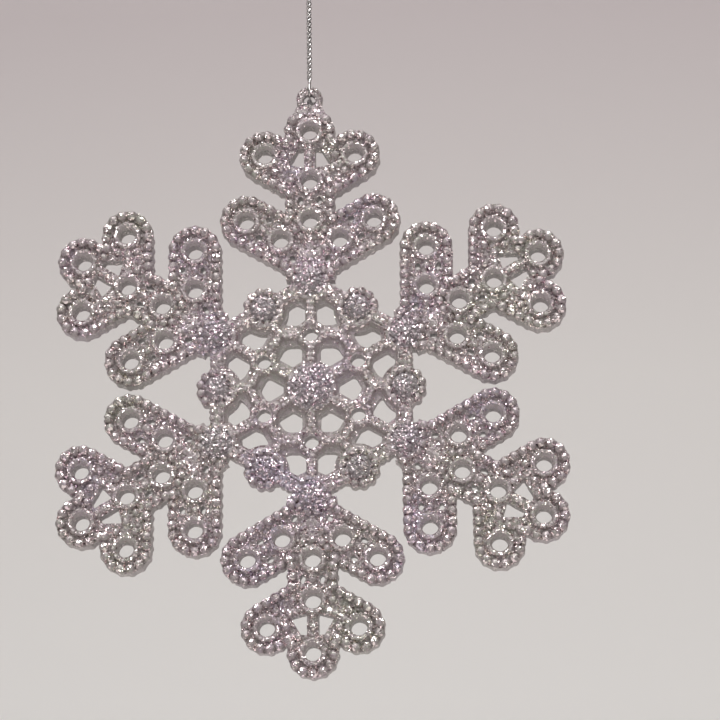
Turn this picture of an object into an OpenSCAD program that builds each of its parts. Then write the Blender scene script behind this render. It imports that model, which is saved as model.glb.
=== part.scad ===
// Glitter lace snowflake ornament with a hanging cord.
// Millimetres. +Z is up, +X is right, the front faces -Y.
// The origin is the inside top of the cord's hanging loop.

/* [Snowflake] */
// Span from tip to tip across two opposite arms
span = 124; // [100:1:160]
// Depth of the moulding at its rims and collars, front to back
depth = 6.2; // [5:0.1:8]
// Depth of the recessed web between the rims
web_depth = 3.8; // [2.5:0.1:4.2]
// Diameter of the round lace holes in the arms
hole_d = 3.8; // [3:0.05:4.4]
// Width of the raised rim round each branch
rim_w = 1.9; // [1.2:0.1:2.3]
// Wall of the raised collar round each lace hole
collar_w = 0.75; // [0.4:0.05:1]

/* [Hub] */
// Width of the lattice bars
bar_w = 3.9; // [2.8:0.1:4.2]
// Width of the bars that tie each neck to its buttons
neck_bar_w = 2.9; // [2:0.1:3.2]
// Depth of the lattice bars, front to back
bar_depth = 5.2; // [4:0.1:5.4]
// Diameter of the small ring holes in the lattice
ring_hole_d = 3.3; // [2:0.1:3.8]
// Depth of each dome at its crown, front to back
dome_depth = 8; // [6.5:0.1:10]

/* [Eyelet] */
// Diameter of the hole that the cord runs through
eyelet_hole_d = 2.6; // [2.4:0.05:3]
// Wall of the eyelet ring
eyelet_wall = 1.5; // [1.2:0.05:1.8]
// Depth of the eyelet ring, front to back
eyelet_depth = 2.2; // [1.6:0.1:2.2]

/* [Cord] */
// Diameter of the single metallic thread
thread_d = 0.56; // [0.4:0.02:0.6]
// Diameter over the two twisted legs of the thread
pair_d = 1.12; // [0.8:0.02:1.2]
// Diameter of the tied knot
knot_d = 2.5; // [2:0.1:3]

/* [Hidden] */
$fn = 48;
tips = ["tip_top", "tip_upper_right", "tip_lower_right",
        "tip_bottom", "tip_lower_left", "tip_upper_left"];
forks = ["fork_top", "fork_upper_right", "fork_lower_right",
         "fork_bottom", "fork_lower_left", "fork_upper_left"];
necks = ["neck_dome_top", "neck_dome_upper_right", "neck_dome_lower_right",
         "neck_dome_bottom", "neck_dome_lower_left", "neck_dome_upper_left"];
buttons = ["button_upper_right", "button_right", "button_lower_right",
           "button_lower_left", "button_left", "button_upper_left"];

// The pattern is drawn on a grid in which an arm is 288 units long.
u = span / 2 / 288;

// Places in one arm as [across the arm, along the arm].
A = [0, 262] * u;       // hole of the end lobe
B = [45, 237.7] * u;    // holes of the two side lobes of the tip
C = [0, 211] * u;       // hole where the three lobes meet
D = [0, 170.7] * u;     // hole in the stem of the arm
E = [63.8, 170.3] * u;  // outer hole of a tongue
F = [29.6, 150.4] * u;  // inner hole of a tongue
K = [0, 133] * u;       // point where the tongues' axes cross the arm
N = 108 * u;            // neck dome
Q = 53.9 * u;           // ring in the lattice
M = 62 * u;             // joint of the lattice between two rings
T = 93 * u;             // button, half-way between two arms
cut_at = 191 * u;       // face where the tip meets the fork

lobe_r = 25.6 * u;
tongue_r = 26.4 * u;
stem_r = 25 * u;
neck_r = 20.5 * u;
button_r = 21 * u;
centre_r = 24.5 * u;
ring_r = 13.4 * u;

// Heights of the pieces above and below one another.
eyelet_r = eyelet_hole_d / 2 + eyelet_wall;
eyelet_at = 288 * u + 1.7;
eyelet_z = -52;
centre_z = eyelet_z - eyelet_at;
knot_z = -26.2;
flex_z = -45.1;

glitter = [0.60, 0.58, 0.57];
rose = [0.66, 0.60, 0.62];
thread_colour = [0.70, 0.70, 0.71];

// ---- helpers ----

// A disc whose axis runs front to back, at a place in the arm.
module disc(p, r, h) {
    translate([p[0], 0, p[1]]) rotate([90, 0, 0]) cylinder(r = r, h = h, center = true);
}

// A straight band from p to q, of half width w.
module band(p, q, w, h) {
    d = q - p;
    translate([p[0], 0, p[1]]) rotate([0, atan2(d[0], d[1]), 0])
        translate([-w, -h / 2, 0]) cube([2 * w, h, norm(d)]);
}

// Everything of arm k, which points up when k is 0 and goes clockwise.
module arm(k) {
    translate([0, 0, centre_z]) rotate([0, 60 * k, 0]) children();
}

function flip(p) = [-p[0], p[1]];

// A round boss with a crown on its front and its back.
module domed(at, r, edge_depth, crown_depth) {
    rise = (crown_depth - edge_depth) / 2;
    ball = (r * r + rise * rise) / (2 * rise);
    intersection() {
        disc(at, r, crown_depth + 1);
        translate([at[0], -(crown_depth / 2 - ball), at[1]]) sphere(r = ball, $fn = 96);
        translate([at[0], crown_depth / 2 - ball, at[1]]) sphere(r = ball, $fn = 96);
    }
}

// ---- fork: the stem of an arm with its two tongues ----

module fork_outline(w, h) {
    for (s = [0, 1]) mirror([s, 0, 0]) {
        band(K + [0, w * 0.37], E, (tongue_r - w) * 0.985, h);
        disc(E, tongue_r - w, h);
    }
    band([0, N], [0, cut_at], stem_r - w, h);
}

module fork_holes(r, h) {
    disc(D, r, h);
    for (s = [0, 1]) mirror([s, 0, 0]) {
        disc(E, r, h);
        disc(F, r, h);
    }
}

module fork(k) {
    color(glitter) arm(k) difference() {
        fork_outline(0, depth);
        for (s = [-1, 1]) translate([0, s * (web_depth + 10) / 2, 0]) difference() {
            fork_outline(rim_w, 10);
            fork_holes(hole_d / 2 + collar_w, 11);
        }
        fork_holes(hole_d / 2, depth + 2);
        disc([0, N], neck_r, depth + 2);
        translate([-8, -8, cut_at]) cube([16, 16, 12]);
        translate([-20, -8, -1]) cube([40, 16, N + 1]);
    }
}

// ---- tip: three lobes round one hole ----

module tip_outline(w, h) {
    band(C, A, (lobe_r - w) * 0.99, h);
    disc(A, lobe_r - w, h);
    for (s = [0, 1]) mirror([s, 0, 0]) {
        band(C, B, (lobe_r - w) * 0.985, h);
        disc(B, lobe_r - w, h);
    }
    band([0, cut_at - 1], C, stem_r - w, h);
}

module tip_holes(r, h) {
    disc(A, r, h);
    disc(C, r, h);
    for (s = [0, 1]) mirror([s, 0, 0]) disc(B, r, h);
}

// The two small windows beside the bar in the middle of the tip.
module tip_windows(grow, h) {
    g = grow / u;
    for (s = [0, 1]) mirror([s, 0, 0]) rotate([90, 0, 0]) translate([0, 0, -h / 2])
        linear_extrude(h) polygon([[6.5 - g, 224 - g], [20 + 1.6 * g, 227.5 - g],
                                   [10.5 + g, 249 + g], [6.5 - g, 249 + g]] * u);
}

module tip(k) {
    color(glitter) arm(k) difference() {
        tip_outline(0, depth);
        for (s = [-1, 1]) translate([0, s * (web_depth + 10) / 2, 0]) difference() {
            tip_outline(rim_w, 10);
            tip_holes(hole_d / 2 + collar_w, 11);
            tip_windows(0.6, 11);
        }
        tip_holes(hole_d / 2, depth + 2);
        tip_windows(0, depth + 2);
        translate([-20, -8, cut_at - 20]) cube([40, 16, 20]);
    }
}

// ---- domes and buttons ----

// A neck is a dome with the two bars that tie it to the buttons beside it.
module neck_dome(k) {
    color(rose) arm(k) {
        domed([0, N], neck_r, 5.4, dome_depth - 0.4);
        for (s = [0, 1]) mirror([s, 0, 0]) difference() {
            band([0, N], [sin(30), cos(30)] * T, neck_bar_w / 2, bar_depth);
            disc([sin(30), cos(30)] * T, button_r, bar_depth + 1);
        }
    }
}

module button(k) {
    color(rose) arm(k + 0.5) {
        difference() {
            disc([0, T], button_r, bar_depth);
            disc([0, T], 14.6 * u, bar_depth + 1);
        }
        domed([0, T], 14.6 * u, bar_depth - 0.4, dome_depth - 0.8);
    }
}

module centre_dome() {
    color(rose) arm(0) domed([0, 0], centre_r, 5.4, dome_depth);
}

// ---- lattice between the domes ----

module hub_lattice() {
    color(glitter) arm(0) difference() {
        union() {
            for (k = [0:5]) rotate([0, 60 * k, 0]) {
                q = [0, Q];
                m = [sin(30), cos(30)] * M;
                b = [sin(30), cos(30)] * T;
                disc(q, ring_r, bar_depth + 0.4);
                disc(m, 7 * u, bar_depth + 0.2);
                band([0, 0], q, bar_w / 2, bar_depth);
                band(q, [0, N], bar_w / 2, bar_depth);
                band(q, m, bar_w / 2, bar_depth);
                band(q, flip(m), bar_w / 2, bar_depth);
                band(m, b, bar_w / 2, bar_depth);
            }
        }
        disc([0, 0], centre_r, 12);
        for (k = [0:5]) rotate([0, 60 * k, 0]) {
            disc([0, Q], ring_hole_d / 2, 12);
            disc([0, N], neck_r, 12);
            disc([sin(30), cos(30)] * T, button_r, 12);
        }
    }
}

// ---- eyelet on the end lobe of the top arm ----

module hanging_eyelet() {
    c = 0.4;
    w = eyelet_wall;
    h = eyelet_depth;
    r = eyelet_hole_d / 2;
    color(glitter) arm(0) difference() {
        union() {
            translate([0, 0, eyelet_at]) rotate([90, 0, 0]) rotate_extrude($fn = 64)
                polygon([[r, -h / 2 + c], [r + c, -h / 2], [r + w - c, -h / 2], [r + w, -h / 2 + c],
                         [r + w, h / 2 - c], [r + w - c, h / 2], [r + c, h / 2], [r, h / 2 - c]]);
            rotate([90, 0, 0]) translate([0, 0, -h / 2]) linear_extrude(h)
                polygon([[-3.6, A[1] + 3], [3.6, A[1] + 3], [eyelet_r * 0.85, eyelet_at - 1.1],
                         [-eyelet_r * 0.85, eyelet_at - 1.1]]);
        }
        disc([0, eyelet_at], r, h + 2);
        disc(A, lobe_r, h + 2);
    }
}

// ---- cord ----

// Smooth curve through hand-picked points.
function between(a, b, c, d, t) =
    0.5 * ((2 * b) + (c - a) * t + (2 * a - 5 * b + 4 * c - d) * t * t
           + (3 * b - a - 3 * c + d) * t * t * t);
function smooth(p, n) = let (e = len(p) - 1) [
    for (i = [0:e - 1]) for (j = [0:n - 1])
        between(p[max(i - 1, 0)], p[i], p[i + 1], p[min(i + 2, e)], j / n),
    p[e]];

// Round tube along a curve that stays in the plane square to side.
module tube(p, d, side, sides = 8) {
    e = len(p) - 1;
    function dir(i) = let (v = p[min(i + 1, e)] - p[max(i - 1, 0)]) v / norm(v);
    rings = [for (i = [0:e]) let (w = cross(dir(i), side)) for (j = [0:sides - 1])
        p[i] + d / 2 * (cos(360 * j / sides) * side + sin(360 * j / sides) * w)];
    walls = [for (i = [0:e - 1]) for (j = [0:sides - 1]) let (k = (j + 1) % sides)
        [i * sides + j, i * sides + k, (i + 1) * sides + k, (i + 1) * sides + j]];
    start = [for (j = [sides - 1:-1:0]) j];
    stop = [for (j = [0:sides - 1]) e * sides + j];
    polyhedron(points = rings, faces = concat(walls, [start], [stop]));
}

// Loop above the knot, one side of it from the knot to the top.
loop_side = [[-0.4, 0, -25.1], [-0.6, 0, -24], [-1.6, 0, -20], [-2.8, 0, -16], [-3.8, 0, -12],
             [-4.5, 0, -8], [-4.4, 0, -5], [-3.6, 0, -2.4], [-2, 0, -0.5]];
loop_path = concat(loop_side, [[0, 0, thread_d / 2]],
                   [for (i = [len(loop_side) - 1:-1:0]) let (p = loop_side[i]) [-p[0], 0, p[2]]]);

// Thread from the flex point down the front, through the eyelet and up the back.
bight_front = [[0, -0.36, -45.5], [0, -0.5, -46], [0, -1.3, -48], [0, -1.72, -49.4],
               [0, -1.72, -50], [0, -1.35, -50.72], [0, -0.7, -51]];
bight_path = concat(bight_front, [for (i = [len(bight_front) - 1:-1:0])
    let (p = bight_front[i]) [0, -p[1], p[2]]]);

module cord_loop() { color(thread_colour) tube(smooth(loop_path, 2), thread_d, [0, 1, 0]); }
module cord_knot() { color(thread_colour) translate([0, 0, knot_z]) sphere(d = knot_d); }
module cord_twisted_pair() {
    color(thread_colour)
        tube([for (z = [-27.8:-2.38:-44.5]) [0, 0, z]], pair_d, [0, 1, 0]);
}
module cord_bight() { color(thread_colour) tube(smooth(bight_path, 2), thread_d, [1, 0, 0]); }

// ---- parts ----

hub_lattice();
centre_dome();
for (k = [0:5]) {
    neck_dome(k);
    button(k);
    fork(k);
    tip(k);
}
hanging_eyelet();
cord_bight();
cord_twisted_pair();
cord_knot();
cord_loop();
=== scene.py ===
# Looks of the lace snowflake ornament: camera and cords first, then the relief meshes, materials, stage and lights.
import math

import bpy
import numpy as np
from mathutils import Matrix, Vector


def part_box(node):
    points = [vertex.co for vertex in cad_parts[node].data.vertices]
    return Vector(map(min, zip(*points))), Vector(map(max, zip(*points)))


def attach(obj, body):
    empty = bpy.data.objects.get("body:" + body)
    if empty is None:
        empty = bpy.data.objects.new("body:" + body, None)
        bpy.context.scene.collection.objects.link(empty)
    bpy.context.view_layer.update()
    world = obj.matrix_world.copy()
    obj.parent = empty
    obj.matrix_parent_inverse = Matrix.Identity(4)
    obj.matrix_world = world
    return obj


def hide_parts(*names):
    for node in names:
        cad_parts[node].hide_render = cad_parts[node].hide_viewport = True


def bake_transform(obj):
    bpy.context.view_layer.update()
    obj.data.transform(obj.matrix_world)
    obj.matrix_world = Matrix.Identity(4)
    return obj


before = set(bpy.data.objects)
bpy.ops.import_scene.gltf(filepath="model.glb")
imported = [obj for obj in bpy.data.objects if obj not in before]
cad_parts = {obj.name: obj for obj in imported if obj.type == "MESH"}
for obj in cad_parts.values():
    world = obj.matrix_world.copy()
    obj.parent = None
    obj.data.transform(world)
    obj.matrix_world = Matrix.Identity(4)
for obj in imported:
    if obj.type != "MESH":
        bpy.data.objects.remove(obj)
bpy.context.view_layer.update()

MM = 0.001
U = 124.0 / 2 / 288  # one unit of the pattern grid, in mm

# ---------------------------------------------------------------- places

eye_lo, eye_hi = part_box("hanging_eyelet")
dome_lo, dome_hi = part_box("centre_dome")
CENTRE_Z = (dome_lo[2] + dome_hi[2]) / 2 / MM  # centre of the snowflake, mm
EYE_Z = CENTRE_Z + 288 * U + 1.7  # centre of the eyelet's hole, mm
EYE_AT = EYE_Z - CENTRE_Z

A = np.array([0, 262]) * U
B = np.array([45, 237.7]) * U
C = np.array([0, 211]) * U
D = np.array([0, 170.7]) * U
E = np.array([63.8, 170.3]) * U
F_ = np.array([29.6, 150.4]) * U
K = np.array([0, 133]) * U
N = np.array([0, 108]) * U
Q = np.array([0, 53.9]) * U
S30, C30 = math.sin(math.radians(30)), math.cos(math.radians(30))
M = np.array([S30, C30]) * 62 * U
T = np.array([S30, C30]) * 93 * U
CUT = 191 * U
NECK_R, BUTTON_R, CENTRE_R = 20.5 * U, 21 * U, 24.5 * U

WHERE = ["top", "upper_right", "lower_right", "bottom", "lower_left", "upper_left"]
BUTTONS = ["upper_right", "right", "lower_right", "lower_left", "left", "upper_left"]


def flip(p):
    return np.array([-p[0], p[1]])


# ---------------------------------------------------------------- camera

F_PX, SENSOR = 2900.0, 36.0
cam_data = bpy.data.cameras.new("camera")
cam_data.sensor_width = SENSOR
cam_data.lens = F_PX * SENSOR / 720.0
cam_data.clip_start, cam_data.clip_end = 0.01, 30
cam = bpy.data.objects.new("camera", cam_data)
bpy.context.scene.collection.objects.link(cam)
bpy.context.scene.camera = cam


def turn(axis, deg):
    return np.array(Matrix.Rotation(math.radians(deg), 3, axis))


# Camera axes: x right, y down, z forward. The plate's own axes are X right, Z up, Y away.
CAM_EL, CAM_AZ, CAM_ROLL = 11.5, 2.354, -0.592
CAM_T = np.array([-47.92, 28.98, 2875.27]) * U * MM  # centre of the plate seen from the camera
R = turn("Z", CAM_ROLL) @ turn("X", -CAM_EL) @ turn("Y", CAM_AZ)
swap = np.array([[1, 0, 0], [0, 0, -1], [0, 1, 0]], float)
RS = R @ swap
at = -RS.T @ CAM_T + np.array([0, 0, CENTRE_Z * MM])
rot = np.stack([RS[0], -RS[1], -RS[2]], 1)  # columns: right, up, back
mat = np.eye(4)
mat[:3, :3] = rot
mat[:3, 3] = at
cam.matrix_world = Matrix(mat.tolist())

# ---------------------------------------------------------------- materials


def new_material(name):
    m = bpy.data.materials.new(name)
    m.use_nodes = True
    nt = m.node_tree
    nt.nodes.clear()
    out = nt.nodes.new("ShaderNodeOutputMaterial")
    bsdf = nt.nodes.new("ShaderNodeBsdfPrincipled")
    nt.links.new(bsdf.outputs[0], out.inputs[0])
    return m, nt, bsdf


def node(nt, kind, **values):
    n = nt.nodes.new(kind)
    for k, v in values.items():
        setattr(n, k, v)
    return n


def vmath(nt, op, a, b=None, scale=None):
    n = nt.nodes.new("ShaderNodeVectorMath")
    n.operation = op
    for i, v in enumerate((a, b)):
        if v is None:
            continue
        if hasattr(v, "type"):
            nt.links.new(v, n.inputs[i])
        else:
            n.inputs[i].default_value = v
    if scale is not None:
        if hasattr(scale, "type"):
            nt.links.new(scale, n.inputs["Scale"])
        else:
            n.inputs["Scale"].default_value = scale
    return n.outputs[0]


def smath(nt, op, a, b=None, clamp=False):
    n = nt.nodes.new("ShaderNodeMath")
    n.operation = op
    n.use_clamp = clamp
    for i, v in enumerate((a, b)):
        if v is None:
            continue
        if hasattr(v, "type"):
            nt.links.new(v, n.inputs[i])
        else:
            n.inputs[i].default_value = v
    return n.outputs[0]


def ramp(nt, fac, stops, interpolation="LINEAR"):
    n = nt.nodes.new("ShaderNodeValToRGB")
    n.color_ramp.interpolation = interpolation
    els = n.color_ramp.elements
    while len(els) > 1:
        els.remove(els[-1])
    els[0].position, els[0].color = stops[0][0], (*stops[0][1], 1)
    for p, c in stops[1:]:
        e = els.new(p)
        e.color = (*c, 1)
    nt.links.new(fac, n.inputs[0])
    return n.outputs[0]


def mix_rgb(nt, fac, a, b, blend="MIX"):
    n = nt.nodes.new("ShaderNodeMix")
    n.data_type = "RGBA"
    n.blend_type = blend
    for sock, v in ((n.inputs[0], fac), (n.inputs[6], a), (n.inputs[7], b)):
        if hasattr(v, "type"):
            nt.links.new(v, sock)
        elif isinstance(v, tuple):
            sock.default_value = (*v, 1)
        else:
            sock.default_value = v
    return n.outputs[2]


def glitter(name, flake_mm, tilt, tone, rose, share, metal=0.45):
    """A satin coat with flakes of glitter in it: each flake leans its own way and has its own tint."""
    m, nt, bsdf = new_material(name)
    coord = node(nt, "ShaderNodeTexCoord").outputs["Object"]
    geo = node(nt, "ShaderNodeNewGeometry")

    cell = node(nt, "ShaderNodeTexVoronoi", feature="F1")
    cell.inputs["Scale"].default_value = 1000 / flake_mm
    nt.links.new(coord, cell.inputs["Vector"])
    fine = node(nt, "ShaderNodeTexVoronoi", feature="F1")
    fine.inputs["Scale"].default_value = 1000 / (flake_mm * 0.5)
    nt.links.new(coord, fine.inputs["Vector"])
    sep = node(nt, "ShaderNodeSeparateColor")
    nt.links.new(cell.outputs["Color"], sep.inputs[0])
    pick = node(nt, "ShaderNodeTexWhiteNoise")
    nt.links.new(cell.outputs["Position"], pick.inputs["Vector"])
    flake = smath(nt, "LESS_THAN", pick.outputs["Value"], share)

    # Lean of each flake; between the flakes the coat only ripples
    lean = vmath(nt, "SUBTRACT", cell.outputs["Color"], (0.5, 0.5, 0.5))
    amount = smath(nt, "ADD", 0.22, smath(nt, "MULTIPLY", flake, tilt - 0.22))
    lean = vmath(nt, "SCALE", lean, scale=amount)
    lean2 = vmath(nt, "SCALE", vmath(nt, "SUBTRACT", fine.outputs["Color"], (0.5, 0.5, 0.5)), scale=0.42)
    normal = vmath(nt, "NORMALIZE", vmath(nt, "ADD", geo.outputs["Normal"], vmath(nt, "ADD", lean, lean2)))
    nt.links.new(normal, bsdf.inputs["Normal"])

    # Tint: slow drift over the piece, and a small change from flake to flake
    drift = node(nt, "ShaderNodeTexNoise")
    drift.inputs["Scale"].default_value = 62
    drift.inputs["Detail"].default_value = 2
    nt.links.new(coord, drift.inputs["Vector"])
    where = smath(nt, "ADD", drift.outputs["Fac"], smath(nt, "MULTIPLY", smath(nt, "SUBTRACT", sep.outputs[0], 0.5), 0.36))
    g, w, r, lilac = (0.96, 0.925, 0.83), (1.0, 0.875, 0.875), (1.0, 0.82, 0.89), (0.94, 0.84, 0.97)
    if rose:
        g, w = (1.0, 0.93, 0.90), (1.0, 0.895, 0.93)
    tint = ramp(nt, where, [(0.22, g), (0.42, w), (0.55, w), (0.68, r), (0.84, lilac)])
    coat = ramp(nt, fine.outputs["Distance"], [(0.0, (tone * 1.15,) * 3), (1.0, (tone * 0.8,) * 3)])
    value = mix_rgb(nt, flake, coat, (0.93, 0.93, 0.93))
    nt.links.new(mix_rgb(nt, 1.0, value, tint, "MULTIPLY"), bsdf.inputs["Base Color"])
    nt.links.new(smath(nt, "ADD", metal, smath(nt, "MULTIPLY", flake, 0.95 - metal)), bsdf.inputs["Metallic"])
    nt.links.new(smath(nt, "SUBTRACT", 0.38, smath(nt, "MULTIPLY", flake, 0.24)), bsdf.inputs["Roughness"])
    return m


def thread_material():
    """Metallised thread: fine foil fibres wound round each strand."""
    m, nt, bsdf = new_material("metallic_thread")
    coord = node(nt, "ShaderNodeTexCoord").outputs["Object"]
    n = node(nt, "ShaderNodeTexNoise")
    n.inputs["Scale"].default_value = 5200
    n.inputs["Detail"].default_value = 3
    nt.links.new(coord, n.inputs["Vector"])
    colour = ramp(nt, n.outputs["Fac"], [(0.34, (0.07, 0.065, 0.065)), (0.48, (0.37, 0.345, 0.34)), (0.60, (0.97, 0.925, 0.915))])
    nt.links.new(colour, bsdf.inputs["Base Color"])
    bsdf.inputs["Metallic"].default_value = 0.85
    bsdf.inputs["Roughness"].default_value = 0.27
    bump = node(nt, "ShaderNodeBump")
    bump.inputs["Strength"].default_value = 0.5
    bump.inputs["Distance"].default_value = 0.00006
    nt.links.new(n.outputs["Fac"], bump.inputs["Height"])
    nt.links.new(bump.outputs[0], bsdf.inputs["Normal"])
    return m


SILVER = glitter("glitter_silver", 0.54, 1.05, 0.42, False, 0.34)
ROSE = glitter("glitter_rose", 0.50, 1.15, 0.34, True, 0.40)
# PLAIN is a shaded copy of the glitter, with few flakes and little metal: painted shade, put on the recesses, the
# ceilings of the holes and the faces that don't point up, where the light from above doesn't reach.
PLAIN = glitter("glitter_painted_shade", 0.38, 0.9, 0.41, False, 0.04, 0.10)
# DARK, the same coat at a third of the tone, is painted shade inside the eyelet's hole.
DARK = glitter("glitter_painted_shade_in_the_eyelet", 0.38, 0.9, 0.13, False, 0.10, 0.10)
THREAD = thread_material()

# ---------------------------------------------------------------- cords

THREAD_D = 0.62
PITCH = 2.28  # one full turn of the twisted pair, mm
KNOT_Z, MID_Z, SPLIT_Z = -26.2, -36.0, -47.3
STRAND_R = 0.295


def smooth(points, n):
    p = np.array(points, float)
    out = []
    for i in range(len(p) - 1):
        a, b, c, d = p[max(i - 1, 0)], p[i], p[i + 1], p[min(i + 2, len(p) - 1)]
        for t in np.arange(n) / n:
            out.append(0.5 * (2 * b + (c - a) * t + (2 * a - 5 * b + 4 * c - d) * t * t + (3 * b - a - 3 * c + d) * t ** 3))
    out.append(p[-1])
    return np.array(out)


def helix(z0, z1, side, step=0.12):
    """One strand of the pair, from z0 to z1. At SPLIT_Z the strand with side 0 is at the front (-Y)."""
    z = np.linspace(z0, z1, max(2, int(abs(z1 - z0) / step) + 1))
    a = (z - SPLIT_Z) / PITCH * 2 * math.pi - math.pi / 2 + math.pi * side
    return np.stack([STRAND_R * np.cos(a), STRAND_R * np.sin(a), z], 1)


def length_of(p):
    return float(np.linalg.norm(np.diff(p, axis=0), axis=1).sum())


def resample(p, step):
    s = np.concatenate([[0], np.cumsum(np.linalg.norm(np.diff(p, axis=0), axis=1))])
    n = max(3, int(round(s[-1] / step)) + 1)
    t = np.linspace(0, s[-1], n)
    return np.stack([np.interp(t, s, p[:, i]) for i in range(3)], 1)


def tube_mesh(path, radius, sides=12, ply=0.10, ply_pitch=0.62):
    """A round strand whose surface shows the plies of the yarn as a fine spiral relief."""
    p = np.asarray(path, float)
    t = np.gradient(p, axis=0)
    t /= np.linalg.norm(t, axis=1)[:, None]
    nrm = np.zeros_like(p)
    ref = np.array([1.0, 0, 0]) if abs(t[0, 0]) < 0.8 else np.array([0, 1.0, 0])
    v = ref - t[0] * (ref @ t[0])
    nrm[0] = v / np.linalg.norm(v)
    for i in range(1, len(p)):
        v = nrm[i - 1] - t[i] * (nrm[i - 1] @ t[i])
        nrm[i] = v / np.linalg.norm(v)
    bi = np.cross(t, nrm)
    s = np.concatenate([[0], np.cumsum(np.linalg.norm(np.diff(p, axis=0), axis=1))])
    ang = np.arange(sides) / sides * 2 * math.pi
    rr = radius * (1 - ply + ply * np.abs(np.cos(1.5 * (ang[None] - s[:, None] / ply_pitch * 2 * math.pi / 1.5))))
    ring = p[:, None] + rr[..., None] * (np.cos(ang)[None, :, None] * nrm[:, None] + np.sin(ang)[None, :, None] * bi[:, None])
    verts = ring.reshape(-1, 3)
    e = len(p)
    i = np.arange(e - 1)[:, None]
    j = np.arange(sides)[None]
    k = (j + 1) % sides
    quads = np.stack([i * sides + j, i * sides + k, (i + 1) * sides + k, (i + 1) * sides + j], -1).reshape(-1, 4)
    verts = np.concatenate([verts, p[:1], p[-1:]])
    a, b = e * sides, e * sides + 1
    jj = np.arange(sides)
    kk = (jj + 1) % sides
    cap0 = np.stack([np.full(sides, a), kk, jj], 1)
    cap1 = np.stack([np.full(sides, b), (e - 1) * sides + jj, (e - 1) * sides + kk], 1)
    return verts, quads, np.concatenate([cap0, cap1])


def make_object(name, verts_mm, tris, quads=None, smooth_faces=False, material=None, face_material=None):
    me = bpy.data.meshes.new(name)
    v = np.asarray(verts_mm, float) * MM
    me.vertices.add(len(v))
    me.vertices.foreach_set("co", v.astype(np.float32).ravel())
    loops = [np.asarray(tris).reshape(-1, 3).ravel()]
    totals = [np.full(len(tris), 3)]
    if quads is not None and len(quads):
        loops.append(np.asarray(quads).reshape(-1, 4).ravel())
        totals.append(np.full(len(quads), 4))
    loops, totals = np.concatenate(loops), np.concatenate(totals)
    me.loops.add(len(loops))
    me.loops.foreach_set("vertex_index", loops.astype(np.int32))
    me.polygons.add(len(totals))
    starts = np.concatenate([[0], np.cumsum(totals)[:-1]])
    me.polygons.foreach_set("loop_start", starts.astype(np.int32))
    me.update(calc_edges=True)
    me.validate()
    me.polygons.foreach_set("use_smooth", np.full(len(me.polygons), smooth_faces))
    for m in material if isinstance(material, (list, tuple)) else [material]:
        me.materials.append(m)
    if face_material is not None and len(face_material) == len(me.polygons):
        me.polygons.foreach_set("material_index", np.asarray(face_material, np.int32))
    me.update()
    o = bpy.data.objects.new(name, me)
    bpy.context.scene.collection.objects.link(o)
    return o


# Upper cord: strand A from the middle of the pair up through the knot, round the open loop, and down strand B.
loop_side = [(-0.4, 0, -25.1), (-0.6, 0, -24), (-1.6, 0, -20), (-2.8, 0, -16), (-3.8, 0, -12),
             (-4.5, 0, -8), (-4.4, 0, -5), (-3.6, 0, -2.4), (-2, 0, -0.5)]
loop_pts = loop_side + [(0, 0, THREAD_D / 2)] + [(-x, y, z) for x, y, z in reversed(loop_side)]
loop_curve = smooth(loop_pts, 10)
up_a, up_b = helix(MID_Z, -27.3, 0), helix(-27.3, MID_Z, 1)
upper = np.concatenate([up_a, loop_curve if up_a[-1, 0] <= 0 else loop_curve[::-1], up_b])
upper = resample(upper, 0.14)

# Lower cord: strand A down to where the legs part, over the front of the ring, through its hole, and back up.
front = [(0, -0.50, -47.75), (0, -0.94, -48.25), (0, -1.40, -48.8), (0, -1.70, -49.45),
         (0, -1.74, -50), (0, -1.38, -50.72), (0, -0.7, -51)]
bight_pts = front + [(x, -y, z) for x, y, z in reversed(front)]
down_a, down_b = helix(MID_Z, SPLIT_Z, 0), helix(SPLIT_Z, MID_Z, 1)
legs = smooth([tuple(down_a[-1])] + bight_pts + [tuple(down_b[0])], 10)
lower = resample(np.concatenate([down_a[:-1], legs, down_b[1:]]), 0.14)


def cord_piece(name, path):
    v, q, t = tube_mesh(path, THREAD_D / 2)
    o = make_object(name, v, t, q, True, THREAD)
    return o


def knot_piece():
    """Overhand knot in the doubled thread, with its two short cut ends."""
    n = 220
    parts_v, parts_q, parts_t = [], [], []
    base = 0

    def add(path, radius, sides=12):
        nonlocal base
        v, q, t = tube_mesh(path, radius, sides)
        parts_v.append(v)
        parts_q.append(q + base)
        parts_t.append(t + base)
        base += len(v)

    s = np.linspace(0, 2 * math.pi, n)
    for off in (-0.2, 0.2):
        x = np.sin(s) + 2 * np.sin(2 * s)
        z = np.cos(s) - 2 * np.cos(2 * s)
        y = -np.sin(3 * s)
        scale = 0.30
        p = np.stack([x * scale, y * scale * 1.6 + off, z * scale * 1.05 + KNOT_Z], 1)
        add(p, 0.25)
    for side, a in ((-1, 0.6), (1, 0.8)):
        p = smooth([(side * 0.5, side * 0.2, KNOT_Z + 0.2), (side * 1.3, side * 0.35, KNOT_Z - 0.1),
                    (side * 2.1, side * 0.5, KNOT_Z - 0.9 * a), (side * 2.5, side * 0.55, KNOT_Z - 2.2 * a)], 14)
        add(p, 0.25)
    return make_object("knot_in_thread", np.concatenate(parts_v), np.concatenate(parts_t),
                       np.concatenate(parts_q), True, THREAD)


cord_upper = cord_piece("hanging_thread_upper", upper)
cord_lower = cord_piece("hanging_thread_lower", lower)
knot = knot_piece()
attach(knot, "hanger")
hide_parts("cord_knot")
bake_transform(cord_upper)
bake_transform(cord_lower)
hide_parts("cord_loop", "cord_twisted_pair")
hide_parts("cord_bight")
print("thread lengths mm: lower %.1f upper %.1f" % (length_of(lower), length_of(upper)))

# ---------------------------------------------------------------- shapes in the plane


def circle(P, c, r):
    return np.hypot(P[..., 0] - c[0], P[..., 1] - c[1]) - r


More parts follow.
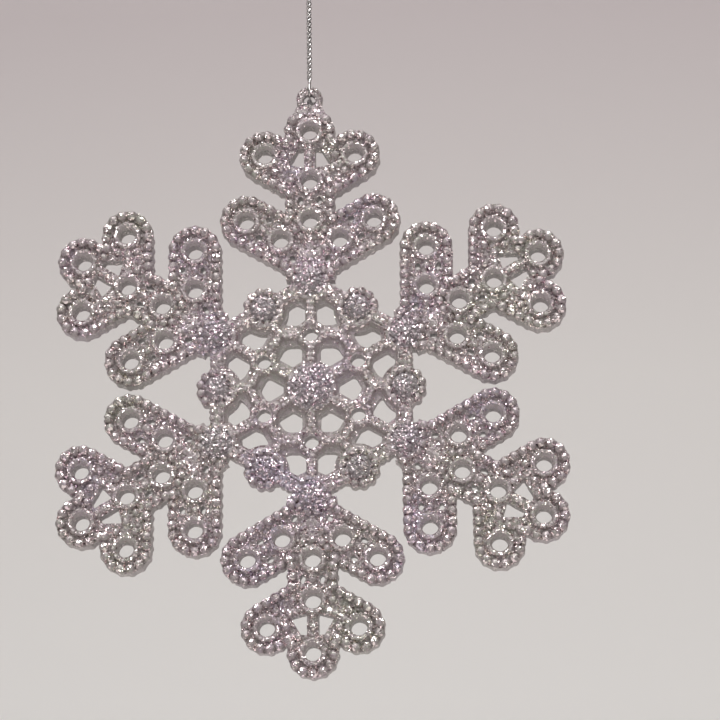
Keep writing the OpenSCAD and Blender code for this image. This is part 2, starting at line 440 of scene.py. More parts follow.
def capsule(P, a, b, r):
    a, b = np.asarray(a, float), np.asarray(b, float)
    d = b - a
    t = np.clip(((P - a) @ d) / (d @ d), 0, 1)
    q = P - a - t[..., None] * d
    return np.hypot(q[..., 0], q[..., 1]) - r


def polygon(P, pts):
    pts = np.asarray(pts, float)
    best = np.full(P.shape[:-1], 1e9)
    inside = np.zeros(P.shape[:-1], bool)
    for i in range(len(pts)):
        a, b = pts[i], pts[(i + 1) % len(pts)]
        best = np.minimum(best, capsule(P, a, b, 0))
        cond = (a[1] > P[..., 1]) != (b[1] > P[..., 1])
        with np.errstate(divide="ignore", invalid="ignore"):
            xs = (b[0] - a[0]) * (P[..., 1] - a[1]) / (b[1] - a[1] + 1e-12) + a[0]
        inside ^= cond & (P[..., 0] < xs)
    return np.where(inside, -best, best)


def dots(P, centres, r):
    """Distance to the nearest of many beads of radius r."""
    out = np.full(P.shape[:-1], 1e9)
    for c in centres:
        out = np.minimum(out, (P[..., 0] - c[0]) ** 2 + (P[..., 1] - c[1]) ** 2)
    return np.sqrt(out) - r


def bead_height(P, centres, r, top):
    """Round-topped beads: height of the surface above the middle plane."""
    d = dots(P, centres, 0)
    return np.where(d < r, top - r + np.sqrt(np.maximum(r * r - d * d, 0)), -9)


def crown(P, c, r, edge, top):
    rise = top - edge
    ball = (r * r + rise * rise) / (2 * rise)
    d2 = (P[..., 0] - c[0]) ** 2 + (P[..., 1] - c[1]) ** 2
    return np.where(d2 < r * r, top - ball + np.sqrt(np.maximum(ball * ball - d2, 0)), -9)


def ridge(P, c, r, half, base, top):
    """Rounded ring of middle radius r."""
    d = (np.hypot(P[..., 0] - c[0], P[..., 1] - c[1]) - r) / half
    return np.where(np.abs(d) < 1, base + (top - base) * np.sqrt(np.maximum(1 - d * d, 0)), -9)


def rib(P, a, b, half, base, top):
    d = capsule(P, a, b, 0) / half
    return np.where(d < 1, base + (top - base) * np.sqrt(np.maximum(1 - d * d, 0)), -9)


def along(a, b, pitch, start=0.0, end=0.0):
    a, b = np.asarray(a, float), np.asarray(b, float)
    n = np.linalg.norm(b - a)
    free = n - start - end
    k = max(1, int(round(free / pitch)))
    return [a + (b - a) * (start + free * (i + 0.5) / k) / n for i in range(k)]


def around(c, r, n, phase=0.0):
    return [np.array([c[0] + r * math.sin(2 * math.pi * (i + phase) / n),
                      c[1] + r * math.cos(2 * math.pi * (i + phase) / n)]) for i in range(n)]


def trace(f, lo, hi, g, level):
    """Longest closed line f = level, as points."""
    nx, nz = int((hi[0] - lo[0]) / g) + 1, int((hi[1] - lo[1]) / g) + 1
    X, Z = np.meshgrid(lo[0] + np.arange(nx) * g, lo[1] + np.arange(nz) * g, indexing="ij")
    V = f(np.stack([X, Z], -1)) - level
    links, place = {}, {}

    def point(i, j, di, dj):
        key = (i, j, di, dj)
        if key not in place:
            a, b = V[i, j], V[i + di, j + dj]
            t = a / (a - b)
            place[key] = (X[i, j] + di * g * t, Z[i, j] + dj * g * t)
        return key

    s = V < 0
    mixed = (s[:-1, :-1] != s[1:, :-1]) | (s[:-1, :-1] != s[:-1, 1:]) | (s[:-1, :-1] != s[1:, 1:])
    for i, j in zip(*np.nonzero(mixed)):
        ends = []
        if s[i, j] != s[i + 1, j]:
            ends.append(point(i, j, 1, 0))
        if s[i + 1, j] != s[i + 1, j + 1]:
            ends.append(point(i + 1, j, 0, 1))
        if s[i, j + 1] != s[i + 1, j + 1]:
            ends.append(point(i, j + 1, 1, 0))
        if s[i, j] != s[i, j + 1]:
            ends.append(point(i, j, 0, 1))
        for a, b in zip(ends[::2], ends[1::2]):
            links.setdefault(a, []).append(b)
            links.setdefault(b, []).append(a)
    seen, best = set(), []
    for k0 in links:
        if k0 in seen:
            continue
        line, k, prev = [k0], k0, None
        seen.add(k0)
        while True:
            nxt = [q for q in links[k] if q not in seen]
            if not nxt:
                break
            k = nxt[0]
            seen.add(k)
            line.append(k)
        if len(line) > len(best):
            best = line
    return np.array([place[k] for k in best])


# ---------------------------------------------------------------- relief mesher

GRID = 0.18
WALL = 0.5


def relief(name, F, H, lo, hi, seed, k=0.0, g=GRID, grain=0.014, side_grain=0.025, material=None, pick=None, plain=1.5, shade_mask=None, under=None):
    """Closed solid whose outline is F < 0 and whose half depth is H, the same front and back.
    The grid is irregular and its points are lifted at random, so each facet is a flake of its own."""
    rng = np.random.default_rng(seed)
    nx, nz = int(math.ceil((hi[0] - lo[0]) / g)) + 1, int(math.ceil((hi[1] - lo[1]) / g)) + 1
    X, Z = np.meshgrid(lo[0] + np.arange(nx) * g, lo[1] + np.arange(nz) * g, indexing="ij")
    P = np.stack([X, Z], -1)
    P = P + (rng.random(P.shape) - 0.5) * g * 0.62
    V = F(P)
    V[0], V[-1], V[:, 0], V[:, -1] = 1, 1, 1, 1
    V = np.where(np.abs(V) < 1e-6, 1e-6, V)
    s = V < 0
    ids = np.arange(nx * nz).reshape(nx, nz)
    # crossings on the two kinds of grid edge
    ex = s[:-1] != s[1:]
    ez = s[:, :-1] != s[:, 1:]
    exid = np.full(ex.shape, -1)
    exid[ex] = nx * nz + np.arange(ex.sum())
    ezid = np.full(ez.shape, -1)
    ezid[ez] = nx * nz + ex.sum() + np.arange(ez.sum())

    def cross(Pa, Pb, Va, Vb):
        t = np.clip(Va / (Va - Vb), 0.08, 0.92)
        return Pa + t[:, None] * (Pb - Pa)

    cx = cross(P[:-1][ex], P[1:][ex], V[:-1][ex], V[1:][ex])
    cz = cross(P[:, :-1][ez], P[:, 1:][ez], V[:, :-1][ez], V[:, 1:][ez])
    pts = np.concatenate([P.reshape(-1, 2), cx, cz])
    n_in = nx * nz

    corner = [s[:-1, :-1], s[1:, :-1], s[1:, 1:], s[:-1, 1:]]
    cid = [ids[:-1, :-1], ids[1:, :-1], ids[1:, 1:], ids[:-1, 1:]]
    eid = [exid[:, :-1], ezid[1:, :], exid[:, 1:], ezid[:-1, :]]
    code = sum(c.astype(int) << b for b, c in enumerate(corner))
    tris, rims = [], []
    for c in range(1, 16):
        m = code == c
        if not m.any():
            continue
        cols, kinds = [], []
        for q in range(4):
            a_in, b_in = bool(c >> q & 1), bool(c >> ((q + 1) % 4) & 1)
            if a_in:
                cols.append(cid[q][m])
                kinds.append("in")
            if a_in != b_in:
                cols.append(eid[q][m])
                kinds.append("out" if a_in else "back")
        n = len(cols)
        for q in range(n):
            if kinds[q] == "out" and kinds[(q + 1) % n] == "back":
                rims.append(np.stack([cols[q], cols[(q + 1) % n]], 1))
        if n == 4:
            a = np.stack(cols, 1)
            h = rng.random(len(a)) < 0.5
            tris += [a[h][:, [0, 1, 2]], a[h][:, [0, 2, 3]], a[~h][:, [0, 1, 3]], a[~h][:, [1, 2, 3]]]
        else:
            for q in range(1, n - 1):
                tris.append(np.stack([cols[0], cols[q], cols[q + 1]], 1))
    tris = np.concatenate(tris)
    rims = np.concatenate(rims)
    used = np.unique(tris)
    remap = np.full(len(pts), -1)
    remap[used] = np.arange(len(used))
    pts, tris, rims = pts[used], remap[tris], remap[rims]
    on_rim = used >= n_in
    h = H(pts)
    n = len(pts)

    def lift():
        r = rng.normal(size=n) * grain
        r[on_rim] *= 0.4
        return np.clip(h + r, 0.2, None)

    hf, hb = lift(), lift()
    front = np.stack([pts[:, 0], -hf, pts[:, 1]], 1)
    rear = np.stack([pts[:, 0], hb, pts[:, 1]], 1)
    verts = [front, rear]
    faces = [tris, tris[:, ::-1] + n]
    # walls, in steps
    rim_ids = np.unique(rims)
    local = np.full(n, -1)
    local[rim_ids] = np.arange(len(rim_ids))
    depth = float(np.median(hf[rim_ids] + hb[rim_ids]))
    steps = max(2, int(round(depth / WALL)))
    # outward direction at each rim point
    out = np.zeros((n, 2))
    d = pts[rims[:, 1]] - pts[rims[:, 0]]
    o = np.stack([d[:, 1], -d[:, 0]], 1)
    ln = np.linalg.norm(o, axis=1, keepdims=True)
    o = o / np.maximum(ln, 1e-9)
    np.add.at(out, rims[:, 0], o)
    np.add.at(out, rims[:, 1], o)
    out /= np.maximum(np.linalg.norm(out, axis=1, keepdims=True), 1e-9)
    base = 2 * n
    layers = [np.arange(n)]
    for q in range(1, steps):
        t = q / steps
        pr = pts[rim_ids] - out[rim_ids] * 0.02 + out[rim_ids] * (rng.random(len(rim_ids)) - 0.5)[:, None] * 2 * side_grain
        y = -hf[rim_ids] * (1 - t) + hb[rim_ids] * t + (rng.random(len(rim_ids)) - 0.5) * WALL * 0.5
        verts.append(np.stack([pr[:, 0], y, pr[:, 1]], 1))
        lay = np.full(n, -1)
        lay[rim_ids] = base + np.arange(len(rim_ids))
        layers.append(lay)
        base += len(rim_ids)
    layers.append(np.arange(n) + n)
    for a, b in zip(layers[:-1], layers[1:]):
        i, j = rims[:, 0], rims[:, 1]
        h2 = rng.random(len(i)) < 0.5
        q4 = np.stack([a[j], a[i], b[i], b[j]], 1)
        faces += [q4[h2][:, [0, 1, 2]], q4[h2][:, [0, 2, 3]], q4[~h2][:, [0, 1, 3]], q4[~h2][:, [1, 2, 3]]]
    verts, faces = np.concatenate(verts), np.concatenate(faces)
    keep = np.unique(faces)
    rm = np.full(len(verts), -1)
    rm[keep] = np.arange(len(keep))
    verts, faces = verts[keep], rm[faces]
    mid = verts[faces].mean(1)
    nor = np.cross(verts[faces[:, 1]] - verts[faces[:, 0]], verts[faces[:, 2]] - verts[faces[:, 0]])
    if nor[mid[:, 1] < -0.3, 1].sum() > 0:
        nor = -nor
    steep = np.abs(nor[:, 1]) < 0.35 * np.linalg.norm(nor, axis=1)
    # Painted shade: faces deep in the recesses, steep faces near the middle and faces under the shade mask take the
    # shaded copy (index 1)
    mats = ((np.abs(mid[:, 1]) < plain) | (steep & (np.abs(mid[:, 1]) < plain + 0.5))).astype(int)
    if shade_mask is not None:
        mats = np.where(shade_mask(mid[:, [0, 2]]), 1, mats)
    # Painted shade: only the faces that point up keep the flakes; the rest keep the shaded copy, where the light from
    # above doesn't fall
    a = math.radians(60 * k)
    up = (nor[:, 2] * math.cos(a) - nor[:, 0] * math.sin(a)) / np.maximum(np.linalg.norm(nor, axis=1), 1e-9)
    mats = np.where(up > 0.30, 0, mats)
    material = [material, under or PLAIN]
    if pick is not None:
        material, mats = [ROSE, PLAIN, SILVER], np.where(mats == 1, 1, pick(mid))
    a = math.radians(60 * k)
    x, y, z = verts.T
    verts = np.stack([x * math.cos(a) + z * math.sin(a), y, -x * math.sin(a) + z * math.cos(a) + CENTRE_Z], 1)
    return make_object(name, verts, faces, None, False, material, mats)


# ---------------------------------------------------------------- arms

HOLE_R = 1.80
BEAD_R = 1.10
TONGUE_R, LOBE_R, STEM_R = 26.4 * U, 25.6 * U, 25.0 * U


def arm_outline(P):
    Pm = np.stack([np.abs(P[..., 0]), P[..., 1]], -1)
    f = capsule(Pm, K, E, TONGUE_R)
    f = np.minimum(f, np.maximum(np.abs(P[..., 0]) - STEM_R, np.maximum(N[1] - P[..., 1], P[..., 1] - C[1])))
    f = np.minimum(f, capsule(Pm, C, B, LOBE_R))
    f = np.minimum(f, capsule(Pm, C, A, LOBE_R))
    return f


line = trace(lambda P: np.minimum(arm_outline(P), circle(P, N, NECK_R)), (-22, 10), (22, 66), 0.2, -BEAD_R * 0.93)
# start at the top of the arm and go both ways, so that the beads mirror
top_i = int(np.argmax(line[:, 1] - 10 * np.abs(line[:, 0])))
line = np.roll(line, -top_i, axis=0)
if line[5, 0] < 0:
    line = line[::-1]
line = line[line[:, 0] > -0.05]
stop = np.nonzero(np.hypot(*(line - N).T) < NECK_R + 0.25)[0]
line = line[: stop[0]] if len(stop) else line
line[0, 0] = 0
arc = np.concatenate([[0], np.cumsum(np.hypot(*np.diff(line, axis=0).T))])
count = int(round(arc[-1] / 2.13))
at_s = np.arange(count + 1) * arc[-1] / count
half = np.stack([np.interp(at_s, arc, line[:, 0]), np.interp(at_s, arc, line[:, 1])], 1)
ARM_BEADS = np.concatenate([half, half[1:] * [-1, 1]])
ARM_HOLES = [A, C, D] + [p for q in (B, E, F_) for p in (q, flip(q))]
WINDOW = np.array([[6.8, 225.5], [19.5, 229], [11, 243.5], [6.8, 244]]) * U
SLITS = [(np.array([9.5, 190.5]) * U, 0.55, 0.95, 0), (np.array([51, 153]) * U, 0.60, 0.80, 60),
         (np.array([41, 171]) * U, 0.60, 0.80, 60), (np.array([17.5, 130.5]) * U, 0.55, 0.85, 30)]


def slit(P, c, a, b, deg):
    r = math.radians(deg)
    x, z = P[..., 0] - c[0], P[..., 1] - c[1]
    w = x * math.cos(r) - z * math.sin(r)
    l = x * math.sin(r) + z * math.cos(r)
    return (np.hypot(w / a, l / b) - 1) * min(a, b)


COAT_RUN = 0.48  # the coat is this much thicker on the ceilings of the holes, mm
MOUTH_R = 2.14   # radius of a hole where it meets the face


def down(k):
    """Straight down, in the frame of the arm or button that is turned by 60 k degrees."""
    return np.array([math.sin(math.radians(60 * k)), -math.cos(math.radians(60 * k))])


def lace_hole(P, c, k):
    return np.maximum(circle(P, c, HOLE_R), circle(P, c + COAT_RUN * down(k), HOLE_R))


def arm_solid(P, k, beads=ARM_BEADS):
    Pm = np.stack([np.abs(P[..., 0]), P[..., 1]], -1)
    f = np.minimum(arm_outline(P) + 0.16, dots(P, beads, BEAD_R))
    for c in ARM_HOLES:
        f = np.maximum(f, -lace_hole(P, c, k))
    f = np.maximum(f, -(polygon(Pm, WINDOW) - 0.25))
    for c, a, b, deg in SLITS:
        f = np.maximum(f, -slit(Pm, c, a, b, deg))
    return np.maximum(f, -circle(P, N, NECK_R - 0.7))


ARM_RIBS = [(A, C), (C, D), (D, K)]
for side in (1, -1):
    side = np.array([side, 1])
    ARM_RIBS += [(C, B * side), (E * side, F_ * side), (F_ * side, K), (D, F_ * side)]


def inner_beads():
    """Beads between the holes: one on each link, then a ring round each hole wherever there is room."""
    links = [(C, D), (D, F_), (E, F_), (B, C), (A, C), (F_, K), (D, K)]
    tries = [(a + b) / 2 for a, b in links]
    for c in (C, D, F_, E, B, A):
        tries += around(c, 19.3 * U, 12)
    for c in (C, D, F_, E, B, A):
        tries += around(c, 20.5 * U, 12, 0.5)
    kept = []
    taken = [tuple(b) for b in ARM_BEADS]
    for p in tries:
        p = np.array([abs(p[0]) if abs(p[0]) > 0.55 else 0.0, p[1]])
        if 0 < p[0] < 0.8 or arm_outline(p) > -1.2 or np.hypot(*(p - N)) < NECK_R + 0.3:
            continue
        if min(math.hypot(p[0] - q[0], p[1] - q[1]) for q in taken) < 1.72:
            continue
        if min(math.hypot(*(p - c)) for c in ARM_HOLES) < 3.35:
            continue
        if polygon(p, WINDOW) < 0.85 or min(math.hypot(*(p - c)) - b for c, a, b, d in SLITS) < 0.55:
            continue
        for q in ([p] if p[0] == 0 else [p, flip(p)]):
            kept.append(q)
            taken.append(tuple(q))
    return kept


INNER_BEADS = inner_beads()
WINDOW_BEADS = along(C, A, 1.35, 2.7, 3.0)


COLLAR_BEADS = []
for i, c in enumerate(ARM_HOLES):
    COLLAR_BEADS += around(c, 2.62, 9, 0.5 if c[0] == 0 else 0.25 * np.sign(c[0]))


def arm_height(P, k, beads=ARM_BEADS):
    h = np.full(P.shape[:-1], 1.95)
    h = np.where(arm_outline(P) > -1.75, 2.2, h)
    for a, b in ARM_RIBS:
        h = np.maximum(h, rib(P, a, b, 0.8, 1.95, 2.35))
    h = np.maximum(h, bead_height(P, INNER_BEADS, 0.88, 2.95))
    h = np.maximum(h, bead_height(P, WINDOW_BEADS, 0.62, 2.75))
    h = np.maximum(h, dome_of_small(P, GRIT))
    d = dots(P, ARM_HOLES, 0)
    # Collar: the mouth slopes in most at the ceiling, then a flat crest and a steep outer side
    u = np.full(P.shape[:-1], 9.0)
    for c in ARM_HOLES:
        u = np.minimum(u, lace_hole(P, c, k))
    u = np.maximum(u, 0)
    t = np.where(d < MOUTH_R, u / (u + np.maximum(MOUTH_R - d, 1e-6)), 1)
    h = np.where(d < 3.05, np.maximum(np.where(d < 2.7, 0, h), 2.25 + 0.58 * t - 1.8 * np.clip(d - 2.72, 0, 1)), h)
    h = np.where((d > MOUTH_R) & (d < 3.2), np.maximum(h, bead_height(P, COLLAR_BEADS, 0.50, 2.95)), h)
    return np.maximum(h, bead_height(P, beads, BEAD_R, 3.25))


GRIT = []
grit_rng = np.random.default_rng(3)
for i in range(17):
    for j in range(46):
        g = np.array([0.35 + i * 1.15 + 0.55 * (j % 2), 22 + j * 0.98]) + grit_rng.normal(size=2) * 0.14
        if arm_outline(g) < -2.0:
            GRIT += [g, flip(g)]


def dome_of_small(P, centres):
    return bead_height(P, centres, 0.42, 2.36)


pieces = []


def finish_piece(o, slot_name, *nodes):
    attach(o, "snowflake")
    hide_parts(*nodes)
    pieces.append(o)
    return o


for k, w in enumerate(WHERE):
    # The tip under the eyelet has no beads where the eyelet's neck grows out of it
    row = [b for b in ARM_BEADS if k or b[1] < A[1] + 3.6]
    # Round the mouths of the holes the faces that don't point up take the shaded copy: painted shade on the ceilings of
    # the holes
    o = relief(f"{w}_arm_tip", lambda P: np.maximum(arm_solid(P, k, row), CUT - P[..., 1]), lambda P: arm_height(P, k, row),
               (-16.5, CUT - 0.5), (16.5, 63.5), 10 + k, k, material=SILVER, plain=1.85,
               shade_mask=lambda p: dots(p, ARM_HOLES, 0) < MOUTH_R + 0.04)
    finish_piece(o, "glitter_silver", f"tip_{w}")
    o = relief(f"{w}_arm_fork", lambda P: np.maximum(arm_solid(P, k), P[..., 1] - CUT), lambda P: arm_height(P, k),
               (-20.5, 21.5), (20.5, CUT + 0.5), 30 + k, k, material=SILVER, plain=1.85,
               shade_mask=lambda p: dots(p, ARM_HOLES, 0) < MOUTH_R + 0.04)
    finish_piece(o, "glitter_silver", f"fork_{w}")

# ---------------------------------------------------------------- hub

ROT = [np.array([[math.cos(math.radians(60 * k)), math.sin(math.radians(60 * k))],
                 [-math.sin(math.radians(60 * k)), math.cos(math.radians(60 * k))]]) for k in range(6)]


def fold(P):
    """Folds the plane onto one sixth, so a pattern is drawn once: x >= 0 and within 30 degrees of the arm."""
    a = np.arctan2(P[..., 0], P[..., 1])
    r = np.hypot(P[..., 0], P[..., 1])
    w = math.pi / 3
    a = np.abs((a + w / 2) % w - w / 2)
    return np.stack([r * np.sin(a), r * np.cos(a)], -1)


O = np.zeros(2)
hub_bars = [(O, Q), (Q, N), (Q, M), (M, T)]
NT = np.array([N[1] - T[1], T[0] - N[0]])
NT = NT / np.hypot(*NT)  # outward normal of the bars between the necks and the buttons


def blend_min(a, b, k=0.5):
    h = np.clip(0.5 + 0.5 * (b - a) / k, 0, 1)
    return b + (a - b) * h - k * h * (1 - h)


def rows(a, b, pitch, start, end, off, seed):
    """Two rows of small beads, one along each edge of a bar."""
    rng = np.random.default_rng(seed)
    d = (np.asarray(b) - a) / np.linalg.norm(np.asarray(b) - a)
    n = np.array([d[1], -d[0]])
    out = []
    for s, shift in ((1, 0.0), (-1, 0.35)):
        for p in along(a, b, pitch, start + shift, end):
            out.append(p + n * s * off + rng.normal(size=2) * 0.10)
    return out


RING_BEADS = around(Q, 2.5, 10, 0.5)


def hub_beads():
    rng = np.random.default_rng(7)
    kept = []
    tries = [M]
    for a, b, t0, t1 in ((O, Q, CENTRE_R, 2.6), (Q, N, 2.6, NECK_R), (Q, M, 2.6, 0.6), (M, T, 0.6, BUTTON_R)):
        tries += rows(a, b, 1.3, t0, t1, 0.44, 11)
    for p in tries:
        if p[0] < -0.05 or p[0] * C30 - p[1] * S30 > 0.05:
            continue
        if np.hypot(*p) < CENTRE_R + 0.1 or np.hypot(*(p - N)) < NECK_R + 0.1 or np.hypot(*(p - T)) < BUTTON_R + 0.1:
            continue
        if min([math.hypot(*(p - q)) for q in kept + RING_BEADS]) < 0.90:
            continue
        kept.append(p + rng.normal(size=2) * 0.07)
    return kept


HUB_BEADS = hub_beads()


def hub_bars_at_middle(p):
    """Outline of the lattice, rounded in the corners of each window."""
    f = capsule(p, O, Q, 1.92)
    for g in (capsule(p, Q, N, 1.15), capsule(p, Q, M, 1.95), capsule(p, flip(Q), flip(M), 1.95), capsule(p, M, T, 1.25),
              circle(p, Q, 3.05), circle(p, M, 2.5), circle(p, O, CENTRE_R + 0.62), circle(p, N, NECK_R + 0.8),
              circle(p, T, BUTTON_R + 0.6), -((p - N) @ NT + 2.1)):
        f = blend_min(f, g)
    return f


def hub_solid(P):
    p, above = fold(P), fold(P + [0, COAT_RUN])
    f = np.minimum(hub_bars_at_middle(p), hub_bars_at_middle(above))
    f = np.maximum(f, (p - N) @ NT + 1.3)
    f = np.maximum(f, -np.maximum(circle(p, Q, 7.6 * U), circle(above, Q, 7.6 * U)))
    f = np.maximum(f, -circle(p, O, CENTRE_R - 1.0))
    f = np.maximum(f, -circle(p, N, NECK_R - 1.0))
    return np.maximum(f, -circle(p, T, BUTTON_R - 1.0))


def hub_height(P):
    """Narrow ridges at the face, steep sides, and a thin recessed web in the corners of each window."""
    p = fold(P)
    d = np.full(P.shape[:-1], 9.0)
    for a, b in hub_bars:
        d = np.minimum(d, capsule(p, a, b, 0))
    d = np.minimum(d, capsule(p, flip(Q), flip(M), 0))
    d = np.minimum(d, np.abs(circle(p, Q, 2.36)) + 0.30)
    d = np.minimum(d, np.maximum(circle(p, O, CENTRE_R - 0.8), 0))
    d = np.minimum(d, np.maximum(circle(p, N, NECK_R - 0.8), 0))
    d = np.minimum(d, np.maximum(circle(p, T, BUTTON_R - 0.8), 0))
    d = np.minimum(d, np.maximum(-((p - N) @ NT + 1.3) + 0.3, 0))
    t = np.clip((d - 0.50) / 0.85, 0, 1)
    h = 2.86 - 1.1 * t
    q = circle(p, Q, 7.6 * U)
    h = np.where(q < 0.45, np.minimum(np.maximum(h, 2.3), 2.45 + 0.4 * np.clip(q / 0.45, 0, 1)), h)
    h = np.maximum(h, bead_height(p, HUB_BEADS, 0.60, 3.12))
    return np.maximum(h, np.where(q > 0.4, bead_height(p, RING_BEADS, 0.58, 3.12), -9))


o = relief("lattice_of_the_hub", hub_solid, hub_height, (-22, -22.5), (22, 22.5), 50, g=0.16, material=SILVER, plain=2.3)
finish_piece(o, "glitter_silver", "hub_lattice")


def grains(P, c, r, pitch, size, seed):
    """Small rounded grains scattered over a dome: the height to add to it."""
    rng = np.random.default_rng(seed)
    k = int(r / pitch) + 2
    out = np.zeros(P.shape[:-1])
    for i in range(-k, k + 1):
        for j in range(-k, k + 1):
            g = np.array([(i + 0.5 * (j % 2)) * pitch, j * pitch * 0.87]) + rng.normal(size=2) * pitch * 0.16
            s = size * (0.75 + 0.5 * rng.random())
            if np.hypot(*g) > r:
                continue
            d2 = (P[..., 0] - c[0] - g[0]) ** 2 + (P[..., 1] - c[1] - g[1]) ** 2
            out = np.maximum(out, np.sqrt(np.maximum(s * s - d2, 0)) * 0.8)
    return out


def boss(name, c, r, dome_r, edge, top, n, bead_r, bead_top, seed, k, nodes, bars=False, phase=0.5):
    ring = around(c, r - bead_r * 0.93, n, phase)
    side = []
    if bars:
        for s in (1, -1):
            t = T * np.array([s, 1])
            side += rows(c, t, 1.45, r - 0.2, BUTTON_R - 0.2, 0.78, 5 + int(s))

    def F(P):
        f = np.minimum(circle(P, c, r - 0.36), dots(P, ring, bead_r))
        if bars:
            for s in (1, -1):
                t = T * np.array([s, 1])
                f = np.minimum(f, capsule(P, c, t, 1.40))
                f = np.minimum(f, dots(P, side, 0.74))
            for s in (1, -1):
                f = np.maximum(f, -circle(P, T * np.array([s, 1]), BUTTON_R - 1.0))
        return f

    def H(P):
        h = np.full(P.shape[:-1], edge - 0.55)
        if bars:
            for s in (1, -1):
                h = np.maximum(h, rib(P, c, T * np.array([s, 1]), 1.5, 2.3, 2.7))
            h = np.maximum(h, bead_height(P, side, 0.72, 3.05))
        h = np.maximum(h, bead_height(P, ring, bead_r, bead_top))
        h = np.maximum(h, crown(P, c, dome_r, edge - 0.3, top - 0.25) + grains(P, c, dome_r - 0.3, 0.95, 0.46, seed))
        return h

    reach = 12.5 if bars else r + 0.8
    lo, hi = (c[0] - reach, c[1] - (9.5 if bars else reach)), (c[0] + reach, c[1] + r + 0.8)

    def pick(mid):
        return 2 * (np.hypot(mid[:, 0] - c[0], mid[:, 2] - c[1]) > dome_r + 0.1).astype(int)

    o = relief(name, F, H, lo, hi, seed, k, grain=0.03, material=ROSE, pick=pick)
    return finish_piece(o, "glitter_rose", *nodes)


boss("dome_in_the_centre", O, CENTRE_R + 0.2, 23.5 * U, 2.7, 4.1, 20, 0.80, 3.0, 60, 0, ["centre_dome"])
for k, w in enumerate(WHERE):
    boss(f"{w}_neck", N, NECK_R, 15.5 * U, 2.7, 3.8, 11, 0.98, 3.05, 70 + k, k, [f"neck_dome_{w}"], bars=True)
for k, w in enumerate(BUTTONS):
    boss(f"{w}_round_button", np.array([0, 93]) * U, BUTTON_R, 13.2 * U, 2.6, 3.6, 12, 0.98, 3.0, 80 + k, k + 0.5,
         [f"button_{w}"])

# ---------------------------------------------------------------- eyelet


EYE = np.array([0, EYE_AT])
EYE_BEADS = around(EYE + [0, 0.35], 2.42, 15, 0.5)
EYE_NECK = [np.array([x, EYE_AT - 2.9]) for x in (-2.1, -1.0, 0.15, 1.25, 2.3)] + [np.array([-2.75, EYE_AT - 4.0]), np.array([2.8, EYE_AT - 3.9])]


def eye_hole(P):
    """The hole, with its lower half and its middle clogged by the coat: what is left is the arch the thread slides in."""
    arch = np.maximum(circle(P, EYE, 1.36), -circle(P, EYE, 0.52))
    return np.maximum(arch, EYE_AT - 0.25 - P[..., 1])


def eye_solid(P):
    f = circle(P, EYE + [0, 0.35], 2.80)
    f = np.minimum(f, dots(P, EYE_BEADS, 0.5))
    f = np.minimum(f, polygon(P, [(-3.9, A[1] + 3), (3.9, A[1] + 3), (2.7, EYE_AT - 1.1), (-2.7, EYE_AT - 1.1)]))
    f = np.minimum(f, dots(P, EYE_NECK, 0.62))
    f = np.maximum(f, -circle(P, A, LOBE_R - 1.0))
    return np.maximum(f, -eye_hole(P))


def eye_height(P):
    h = np.full(P.shape[:-1], 0.85)
    d = circle(P, EYE, 0)
    h = np.where(d < 1.36, 0.42 + 0.3 * (d / 1.36) ** 4, h)
    h = np.maximum(h, ridge(P, EYE, 2.08, 0.74, 0.5, 1.08))
    h = np.where(P[..., 1] < EYE_AT - 1.9, np.maximum(h, 1.5), h)
    h = np.maximum(h, bead_height(P, EYE_NECK, 0.62, 2.1))
    return np.maximum(h, bead_height(P, EYE_BEADS, 0.5, 1.35))


# In and round the eyelet's hole the faces that don't point up take DARK: painted shade in the hole
o = relief("eyelet_for_the_thread", eye_solid, eye_height, (-4.5, A[1] + 2), (4.5, EYE_AT + 3.6), 90, g=0.18, grain=0.025,
           side_grain=0.03, material=SILVER, plain=0.0, shade_mask=lambda p: circle(p, EYE, 1.42) < 0, under=DARK)
finish_piece(o, "glitter_silver", "hanging_eyelet")
print("faces", sum(len(o.data.polygons) for o in pieces))

# ---------------------------------------------------------------- stage


def stage_material(name, bottom, middle, top, z0, z1):
    m, nt, bsdf = new_material(name)
    coord = node(nt, "ShaderNodeTexCoord").outputs["Object"]
    sep = node(nt, "ShaderNodeSeparateXYZ")
    nt.links.new(coord, sep.inputs[0])
    f = node(nt, "ShaderNodeMapRange")
    f.inputs["From Min"].default_value = z0
    f.inputs["From Max"].default_value = z1
    nt.links.new(sep.outputs[2], f.inputs[0])
    # Painted shade: the colour runs from pale at the bottom to greyer at the top, so the wall is painted darker towards
    # the top
    nt.links.new(ramp(nt, f.outputs[0], [(0.0, bottom), (0.45, middle), (1.0, top)]), bsdf.inputs["Base Color"])
    bsdf.inputs["Roughness"].default_value = 0.9
    bsdf.inputs["Specular IOR Level"].default_value = 0.1
    return m


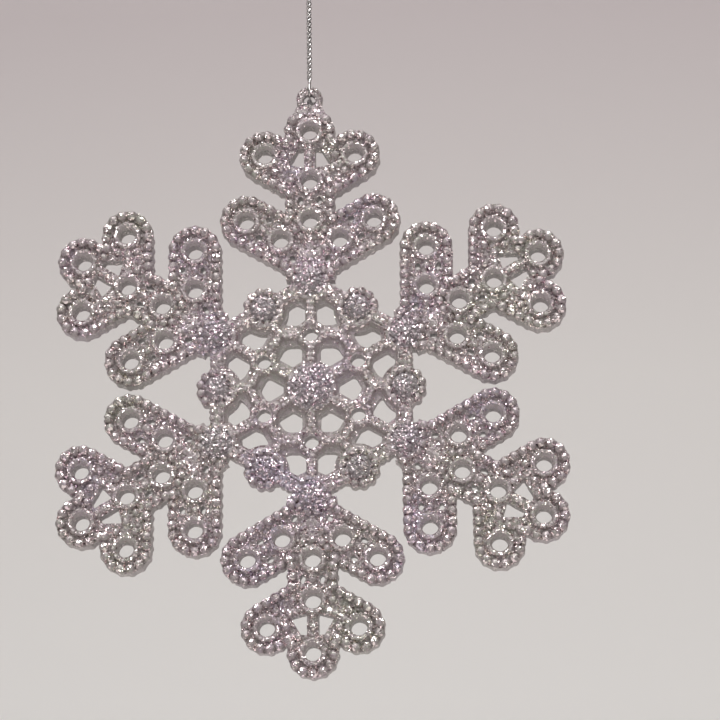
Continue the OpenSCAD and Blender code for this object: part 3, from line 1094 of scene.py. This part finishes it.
def stage_sheet():
    """Floor and wall in one sheet with a wide cove between them."""
    floor_z, wall_y, r = -0.75, 1.9, 0.5
    prof = [(-4.0, floor_z), (wall_y - r, floor_z)]
    prof += [(wall_y - r + r * math.sin(a), floor_z + r - r * math.cos(a)) for a in np.linspace(0, math.pi / 2, 17)[1:]]
    prof += [(wall_y, 3.5)]
    xs = np.linspace(-4, 4, 9)
    verts = [(x, y, z) for (y, z) in prof for x in xs]
    faces = []
    for i in range(len(prof) - 1):
        for j in range(len(xs) - 1):
            a = i * len(xs) + j
            faces.append((a, a + 1, a + len(xs) + 1, a + len(xs)))
    me = bpy.data.meshes.new("stage")
    me.from_pydata(verts, [], faces)
    for p in me.polygons:
        p.use_smooth = True
    # Painted shade on the stage: pale floor and foot of the wall, greyer higher up
    me.materials.append(stage_material("stage", (0.845, 0.82, 0.80), (0.755, 0.72, 0.70), (0.565, 0.505, 0.507), -0.02, 0.60))
    o = bpy.data.objects.new("stage", me)
    bpy.context.scene.collection.objects.link(o)


stage_sheet()

# ---------------------------------------------------------------- light


def area(name, place, aim, size, power, colour=(1, 1, 1)):
    l = bpy.data.lights.new(name, "AREA")
    l.shape = "DISK"
    l.size = size
    l.energy = power
    l.color = colour
    o = bpy.data.objects.new(name, l)
    o.location = place
    o.rotation_euler = (Vector(aim) - Vector(place)).to_track_quat("-Z", "Y").to_euler()
    bpy.context.scene.collection.objects.link(o)
    return o


AIM = (0, 0, CENTRE_Z * MM)
area("key", (-0.25, -0.75, 1.0), AIM, 0.22, 8.5)
area("front", (0.25, -1.2, 0.35), AIM, 0.12, 2.0)
area("right", (0.9, -0.9, 0.45), AIM, 0.22, 2.4)
area("left", (-1.0, -0.8, 0.15), AIM, 0.20, 1.8)
area("wall_wash", (0, -0.4, 2.4), (0, 1.9, -0.1), 1.2, 50)

world = bpy.data.worlds.new("world")
bpy.context.scene.world = world
world.use_nodes = True
bg = world.node_tree.nodes["Background"]
bg.inputs[0].default_value = (0.80, 0.785, 0.775, 1)
bg.inputs[1].default_value = 0.20

bpy.context.scene.view_settings.view_transform = "Standard"
bpy.context.scene.view_settings.look = "None"
